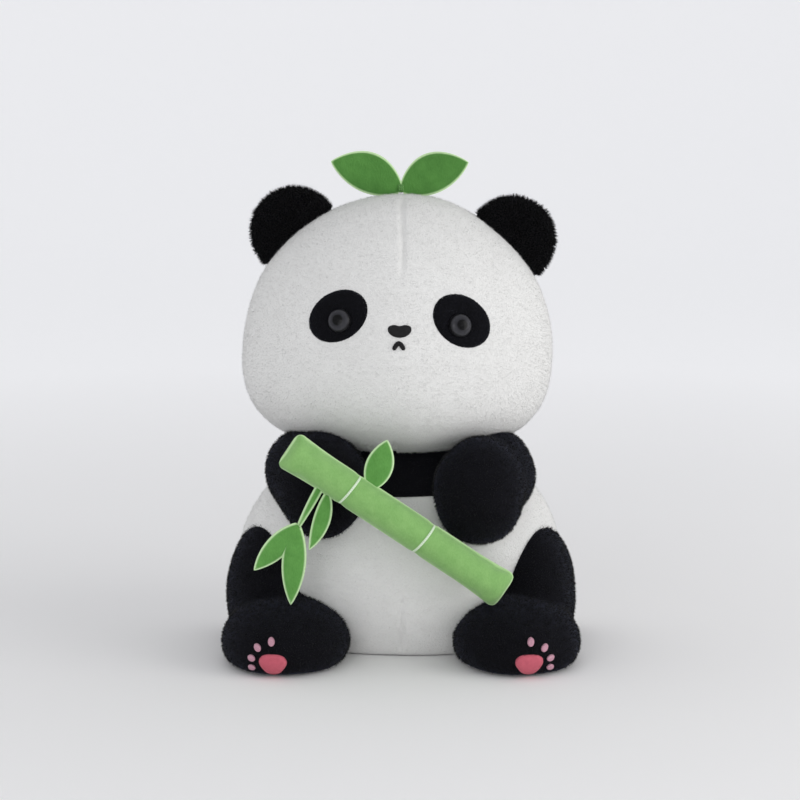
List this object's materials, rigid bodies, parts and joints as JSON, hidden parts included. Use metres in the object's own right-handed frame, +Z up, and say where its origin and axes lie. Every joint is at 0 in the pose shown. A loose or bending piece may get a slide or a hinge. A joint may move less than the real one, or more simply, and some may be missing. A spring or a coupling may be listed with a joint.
{
  "type": "plush panda",
  "caption": "Seated plush panda with a felt sprout on its head, holding a stuffed bamboo stick with leaves across its belly.",
  "frame": {"origin": "centre of the flat base, on the surface that the panda sits on", "axes": "+Z up through the head; the face looks along -Y; the panda's own left side is +X"},
  "size_m": [0.182, 0.1883, 0.2527],
  "materials": {
    "white_plush": "matte",
    "black_plush": "matte",
    "black_shag": "matte",
    "green_felt": "matte",
    "green_bamboo": "matte",
    "pale_thread": "matte",
    "black_thread": "satin",
    "pink_thread": "satin",
    "white_thread": "matte",
    "eye_plastic": "gloss",
    "washer_plastic": "matte",
    "fibre_fill": "matte",
    "pellet_bag": "matte"
  },
  "bodies": {
    "torso": {"base_panel": "white_plush", "belly_panel": "white_plush", "back_panel_left": "white_plush", "back_panel_right": "white_plush", "shoulder_band_front": "black_plush", "shoulder_band_back": "black_plush", "torso_stuffing": "fibre_fill", "pellet_pouch": "pellet_bag", "tail_cover": "black_plush", "tail_stuffing": "fibre_fill"},
    "neck_seam": {"neck_stitching": "white_thread"},
    "neck": {"neck_stuffing": "fibre_fill"},
    "head": {"face_panel": "white_plush", "head_back_left": "white_plush", "head_back_right": "white_plush", "head_stuffing": "fibre_fill", "eye_patch_left": "black_plush", "eye_patch_right": "black_plush", "eye_left": "eye_plastic", "eye_right": "eye_plastic", "eye_washer_left": "washer_plastic", "eye_washer_right": "washer_plastic", "nose_stitching": "black_thread", "mouth_stitching": "black_thread"},
    "ear_left": {"ear_left_front": "black_shag", "ear_left_back": "black_shag", "ear_left_stuffing": "fibre_fill"},
    "ear_right": {"ear_right_front": "black_shag", "ear_right_back": "black_shag", "ear_right_stuffing": "fibre_fill"},
    "sprout": {"sprout_leaf_left": "green_felt", "sprout_leaf_right": "green_felt", "sprout_stitch": "green_felt"},
    "arm_right": {"arm_right_cover": "black_plush", "arm_right_stuffing": "fibre_fill", "bamboo_cover": "green_bamboo", "bamboo_stuffing": "fibre_fill", "bamboo_band_upper": "pale_thread", "bamboo_band_lower": "pale_thread"},
    "arm_left": {"arm_left_cover": "black_plush", "arm_left_stuffing": "fibre_fill"},
    "leg_left": {"leg_left_cover": "black_plush", "leg_left_stuffing": "fibre_fill", "leg_left_pad": "pink_thread", "leg_left_toes": "pink_thread"},
    "leg_right": {"leg_right_cover": "black_plush", "leg_right_stuffing": "fibre_fill", "leg_right_pad": "pink_thread", "leg_right_toes": "pink_thread"},
    "leaf_top": {"bamboo_leaf_top": "green_felt"},
    "leaf_small": {"bamboo_leaf_small": "green_felt"},
    "twig": {"bamboo_twig": "green_felt"}
  },
  "joints": [
    {"name": "neck_turn", "type": "hinge", "parent": "torso", "child": "neck_seam", "pos_m": [0, 0, 0.104], "axis": [0, 0, 1], "range_deg": [-15, 15], "stiffness_Nm_per_rad": 0.4},
    {"name": "neck_tilt", "type": "hinge", "parent": "neck_seam", "child": "neck", "pos_m": [0, 0, 0.104], "axis": [0, 1, 0], "range_deg": [-3, 3], "stiffness_Nm_per_rad": 1.2},
    {"name": "neck_nod", "type": "hinge", "parent": "neck", "child": "head", "pos_m": [0, 0, 0.104], "axis": [-1, 0, 0], "range_deg": [-2, 6], "stiffness_Nm_per_rad": 1.2},
    {"name": "ear_left_fold", "type": "hinge", "parent": "head", "child": "ear_left", "pos_m": [0.05642, 0, 0.20675], "axis": [0.7072, 0, -0.7071], "range_deg": [-15, 15], "stiffness_Nm_per_rad": 0.03},
    {"name": "ear_right_fold", "type": "hinge", "parent": "head", "child": "ear_right", "pos_m": [-0.05436, 0, 0.21119], "axis": [0.7616, 0, 0.6481], "range_deg": [-15, 15], "stiffness_Nm_per_rad": 0.03},
    {"name": "sprout_fold", "type": "hinge", "parent": "head", "child": "sprout", "pos_m": [0.00008, 0, 0.23014], "axis": [0.9992, 0, -0.0401], "range_deg": [-20, 20], "stiffness_Nm_per_rad": 0.02},
    {"name": "arm_right_lift", "type": "hinge", "parent": "torso", "child": "arm_right", "pos_m": [0, 0.002, 0.102], "axis": [-1, 0, 0], "range_deg": [0, 4], "stiffness_Nm_per_rad": 0.5},
    {"name": "arm_left_lift", "type": "hinge", "parent": "torso", "child": "arm_left", "pos_m": [0, 0.002, 0.102], "axis": [-1, 0, 0], "range_deg": [0, 4], "stiffness_Nm_per_rad": 0.5},
    {"name": "leg_left_spread", "type": "hinge", "parent": "torso", "child": "leg_left", "pos_m": [0.08, 0.005, 0], "axis": [0, 0, 1], "range_deg": [0, 20], "stiffness_Nm_per_rad": 0.4},
    {"name": "leg_right_spread", "type": "hinge", "parent": "torso", "child": "leg_right", "pos_m": [-0.08, 0.005, 0], "axis": [0, 0, -1], "range_deg": [0, 20], "stiffness_Nm_per_rad": 0.4},
    {"name": "leaf_top_bend", "type": "hinge", "parent": "arm_right", "child": "leaf_top", "pos_m": [-0.01414, -0.07998, 0.09211], "axis": [-0.9442, 0, 0.3294], "range_deg": [-20, 20], "stiffness_Nm_per_rad": 0.01},
    {"name": "leaf_small_bend", "type": "hinge", "parent": "arm_right", "child": "leaf_small", "pos_m": [-0.03596, -0.07998, 0.08542], "axis": [-0.945, 0, 0.3271], "range_deg": [0, 20], "stiffness_Nm_per_rad": 0.01},
    {"name": "twig_bend", "type": "hinge", "parent": "arm_right", "child": "twig", "pos_m": [-0.04, -0.07998, 0.08854], "axis": [-0.8557, 0, 0.5174], "range_deg": [0, 20], "stiffness_Nm_per_rad": 0.01}
  ],
  "couplings": [
    {"joint": "arm_left_lift", "follows": "arm_right_lift", "ratio": 1}
  ]
}
